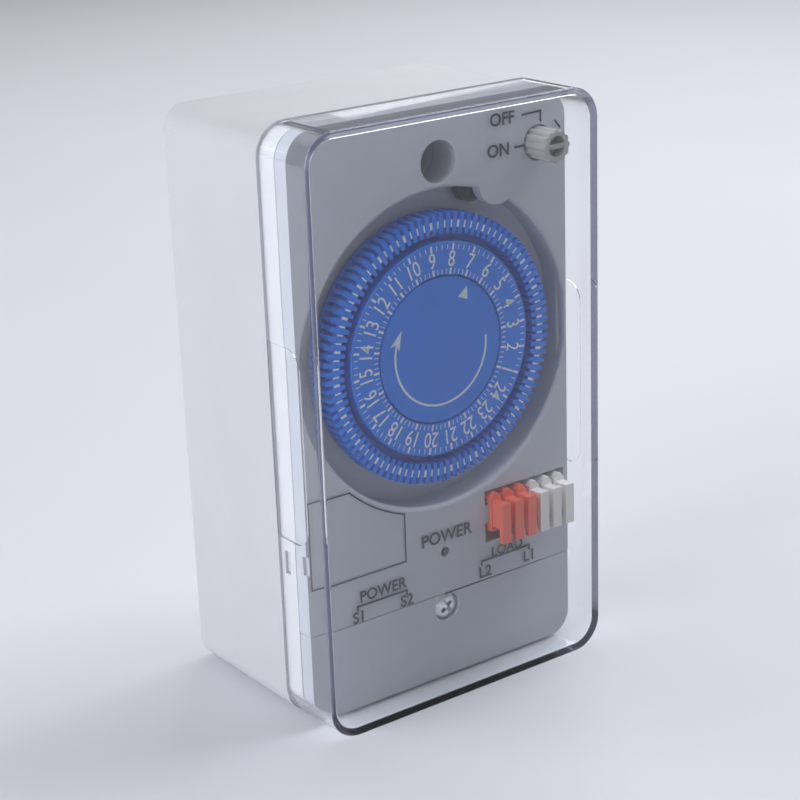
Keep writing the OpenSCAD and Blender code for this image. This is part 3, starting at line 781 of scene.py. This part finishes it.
# Keeps the floor from sharing a plane with the cover's lowest face
FLOOR_GAP = 0.1 * MM
# Name, place, size and power of each light
LIGHTS = (
    ("overhead", (0, 0, 1.1), 0.8, 0.4),
    ("overhead_back", (0.1, 0.55, 0.95), 0.9, 1.0),
    ("left", (-1.0, 0, 0.4), 0.6, 5.0),
    ("left_back", (-0.8, 0.7, 0.7), 0.6, 3.1),
    ("right", (0.65, -0.05, 0.9), 0.6, 5.5),
    ("right_back", (0.8, 0.7, 0.7), 0.6, 2.6),
)


def make_camera():
    """A view from a little above the object and to its left."""
    low, high = CAD_BOUNDS
    centre = (low + high) / 2
    away = HEIGHTS_AWAY * (high.z - low.z)
    az, el = math.radians(AZIMUTH), math.radians(ELEVATION)
    place = centre + away * Vector(
        (-math.sin(az) * math.cos(el), -math.cos(az) * math.cos(el), math.sin(el))
    )
    yaw, pitch, roll = (math.radians(v) for v in (YAW, PITCH, ROLL))
    ahead = Vector(
        (-math.sin(yaw) * math.cos(pitch), math.cos(yaw) * math.cos(pitch), math.sin(pitch))
    )
    right = Vector((math.cos(yaw), math.sin(yaw), 0))
    up = right.cross(ahead)
    across = math.cos(roll) * right + math.sin(roll) * up
    upright = -math.sin(roll) * right + math.cos(roll) * up
    data = bpy.data.cameras.new("camera")
    data.sensor_width = SENSOR
    data.lens = LENS
    data.clip_start = 0.01
    camera = bpy.data.objects.new("camera", data)
    camera.matrix_world = Matrix.Translation(place) @ Matrix(
        (across, upright, -ahead)
    ).transposed().to_4x4()
    bpy.context.scene.collection.objects.link(camera)
    bpy.context.scene.camera = camera


def area_light(name, place, size, power):
    """A soft square light aimed at the middle of the object."""
    aim = (CAD_BOUNDS[0] + CAD_BOUNDS[1]) / 2
    data = bpy.data.lights.new(name, "AREA")
    data.size = size
    data.energy = power
    data.color = LIGHT_COLOUR
    light = bpy.data.objects.new(name, data)
    light.location = place
    light.rotation_mode = "QUATERNION"
    light.rotation_quaternion = (Vector(place) - aim).to_track_quat("Z", "Y")
    bpy.context.scene.collection.objects.link(light)


def floor_paper():
    """Pale paper with a faint mottle."""
    n = Nodes("floor_paper")
    mottle = n.colours(n.noise(6, 2), (0.81, 0.82, 0.87), (0.83, 0.84, 0.89))
    n.link(mottle, n.shader.inputs["Base Color"])
    n.set(Roughness=0.6)
    n.link(n.bump(n.noise(400, 3), 0.00003, 0.3), n.shader.inputs["Normal"])
    return n.material


def make_floor():
    """A plain pale floor, just under the object."""
    bm = bmesh.new()
    bmesh.ops.create_grid(bm, x_segments=2, y_segments=2, size=FLOOR_HALF)
    mesh = bpy.data.meshes.new("floor")
    bm.to_mesh(mesh)
    bm.free()
    mesh.materials.append(floor_paper())
    floor = bpy.data.objects.new("floor", mesh)
    floor.location.z = CAD_BOUNDS[0].z - FLOOR_GAP
    bpy.context.scene.collection.objects.link(floor)


def make_studio():
    """The floor, soft lights and a faint even light from all round."""
    world = bpy.data.worlds.new("studio")
    world.use_nodes = True
    background = world.node_tree.nodes["Background"]
    background.inputs["Color"].default_value = WORLD_COLOUR
    background.inputs["Strength"].default_value = WORLD_STRENGTH
    bpy.context.scene.world = world
    make_floor()
    for light in LIGHTS:
        area_light(*light)
    bpy.context.scene.view_settings.view_transform = "Standard"


# Each CAD node whose hard edges are rounded, and how far
SOFT_EDGES = {
    "rear_housing": 0.5 * MM,
    "front_panel": 0.15 * MM,
    "terminal_cover": 0.15 * MM,
    "override_knob": 0.15 * MM,
    "number_disc": 0.2 * MM,
    "centre_disc": 0.25 * MM,
    "dial_ring": 0.06 * MM,
    "trip_wheel": 0.15 * MM,
}
RIDER_EDGE = 0.07 * MM
for row in ("on", "off"):
    for number in (1, 2, 3):
        SOFT_EDGES[f"{row}_rider_{number}"] = RIDER_EDGE

make_camera()
make_studio()
dress_cad_nodes()
for name, width in SOFT_EDGES.items():
    soften(name, width)
clear_cover()
lid_screw()
panel_legends()
dial_printing()
centre_printing()
